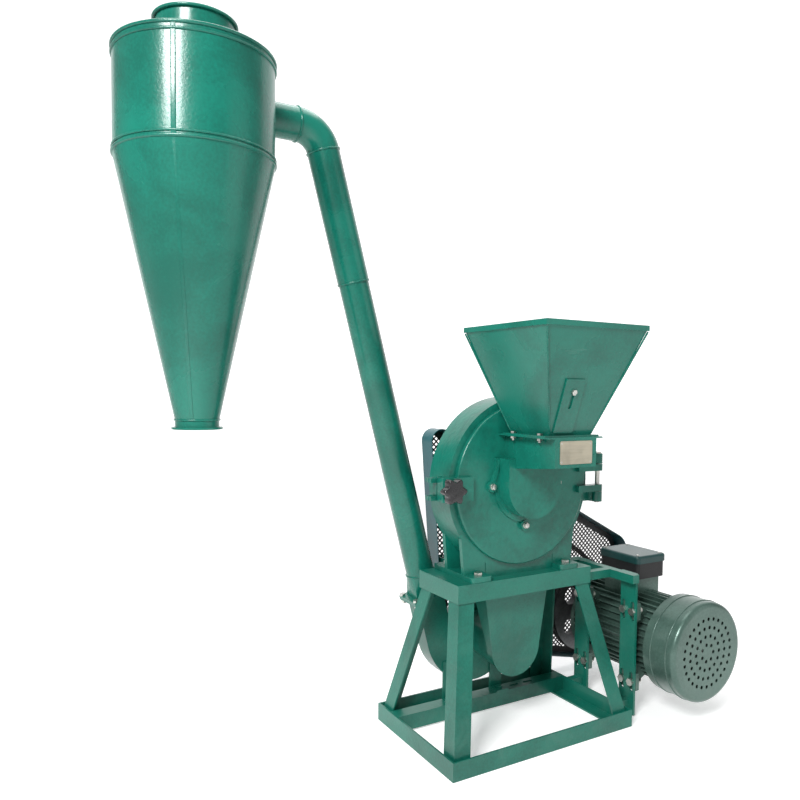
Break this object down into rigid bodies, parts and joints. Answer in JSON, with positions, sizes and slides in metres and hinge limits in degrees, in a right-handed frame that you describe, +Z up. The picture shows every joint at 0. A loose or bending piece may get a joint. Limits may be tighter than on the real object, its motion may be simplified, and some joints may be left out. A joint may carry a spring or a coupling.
{
  "type": "hammer mill",
  "caption": "Electric self-suction hammer mill: hopper and hinged door, belt-driven rotor, blower under the stand, riser pipe and cyclone collector.",
  "frame": {"origin": "centre of the four anchor holes of the base frame, on the floor", "axes": "+Z up, -Y out of the feed door and hopper, +X towards the motor, -X towards the cyclone"},
  "size_m": [1.7768, 0.634, 1.814],
  "materials": {
    "green_paint": "semi-gloss stove enamel over sheet and castings",
    "motor_paint": "grey-green enamel",
    "black_mesh": "black coated sheet",
    "black_knob": "moulded phenolic",
    "black_rubber": "fabric-covered belt rubber",
    "zinc": "zinc plated",
    "bare_steel": "machined steel",
    "cast_pulley": "machined casting",
    "plate_metal": "satin"
  },
  "bodies": {
    "machine": {"base_ring": "green_paint", "top_frame": "green_paint", "legs": "green_paint", "fan_rail": "green_paint", "motor_mount_frame": "green_paint", "motor_mount_stays": "green_paint", "motor_uprights": "green_paint", "mill_housing": "green_paint", "mill_foot_bolts": "zinc", "ring_screen": "bare_steel", "mill_bearing_housing": "green_paint", "mill_bearings": "bare_steel", "motor_belts": "black_rubber", "fan_belt": "black_rubber", "belt_guard_rim": "green_paint", "belt_guard_mesh": "black_mesh", "guard_brackets": "green_paint", "fan_casing": "green_paint", "fan_bearing_housing": "green_paint", "fan_feet": "green_paint", "duct_body": "green_paint", "duct_front_plate": "green_paint", "lower_pipe": "green_paint", "flange_bolts": "zinc", "upper_pipe": "green_paint", "inlet_elbow": "green_paint", "cyclone_barrel": "green_paint", "vortex_tube": "green_paint", "cyclone_cone": "green_paint", "motor_body": "motor_paint", "motor_feet": "motor_paint", "motor_foot_bolts": "zinc", "motor_end_shields": "motor_paint", "fan_cowl": "motor_paint", "terminal_box": "black_mesh", "terminal_lid": "green_paint", "cable_gland": "zinc", "hinge_pin": "zinc", "latch_trunnion": "green_paint"},
    "door": {"front_door": "green_paint", "feed_box": "green_paint", "hopper": "green_paint", "hopper_bolts": "zinc", "name_plate": "plate_metal"},
    "gate": {"feed_gate": "green_paint"},
    "latch_knob": {"star_knob_bolt": "black_knob"},
    "mill_rotor": {"mill_shaft": "bare_steel", "rotor_discs": "bare_steel", "hammer_pins": "bare_steel", "mill_pulley": "cast_pulley"},
    "hammers_1": {"hammer_row_1": "bare_steel"},
    "hammers_2": {"hammer_row_2": "bare_steel"},
    "hammers_3": {"hammer_row_3": "bare_steel"},
    "hammers_4": {"hammer_row_4": "bare_steel"},
    "motor_armature": {"motor_rotor": "bare_steel", "motor_fan": "black_knob", "motor_pulley": "cast_pulley"},
    "fan_wheel": {"fan_shaft": "bare_steel", "fan_impeller": "green_paint", "fan_pulley": "cast_pulley"}
  },
  "joints": [
    {"name": "door_swing", "type": "hinge", "parent": "machine", "child": "door", "pos_m": [0.277, -0.08, 0.722], "axis": [0, 0, 1], "range_deg": [0, 110]},
    {"name": "gate_slide", "type": "slide", "parent": "door", "child": "gate", "axis": [0, -0.3347, 0.9423], "range_m": [0, 0.04]},
    {"name": "knob_turn", "type": "hinge", "parent": "door", "child": "latch_knob", "pos_m": [-0.264, -0.09, 0.722], "axis": [0, 1, 0], "continuous": true},
    {"name": "rotor_spin", "type": "hinge", "parent": "machine", "child": "mill_rotor", "pos_m": [0, 0, 0.722], "axis": [0, 1, 0], "continuous": true},
    {"name": "motor_spin", "type": "hinge", "parent": "machine", "child": "motor_armature", "pos_m": [0.52, 0, 0.214], "axis": [0, 1, 0], "continuous": true},
    {"name": "fan_spin", "type": "hinge", "parent": "machine", "child": "fan_wheel", "pos_m": [0, 0.163, 0.245], "axis": [0, 1, 0], "continuous": true},
    {"name": "hammer_1_swing", "type": "hinge", "parent": "mill_rotor", "child": "hammers_1", "pos_m": [0.122, 0, 0.722], "axis": [0, 1, 0], "range_deg": [-45, 45]},
    {"name": "hammer_2_swing", "type": "hinge", "parent": "mill_rotor", "child": "hammers_2", "pos_m": [0, 0, 0.844], "axis": [0, 1, 0], "range_deg": [-45, 45]},
    {"name": "hammer_3_swing", "type": "hinge", "parent": "mill_rotor", "child": "hammers_3", "pos_m": [-0.122, 0, 0.722], "axis": [0, 1, 0], "range_deg": [-45, 45]},
    {"name": "hammer_4_swing", "type": "hinge", "parent": "mill_rotor", "child": "hammers_4", "pos_m": [0, 0, 0.6], "axis": [0, 1, 0], "range_deg": [-45, 45]}
  ],
  "couplings": [
    {"joint": "motor_spin", "follows": "rotor_spin", "ratio": 0.34667},
    {"joint": "fan_spin", "follows": "rotor_spin", "ratio": 0.86667}
  ]
}
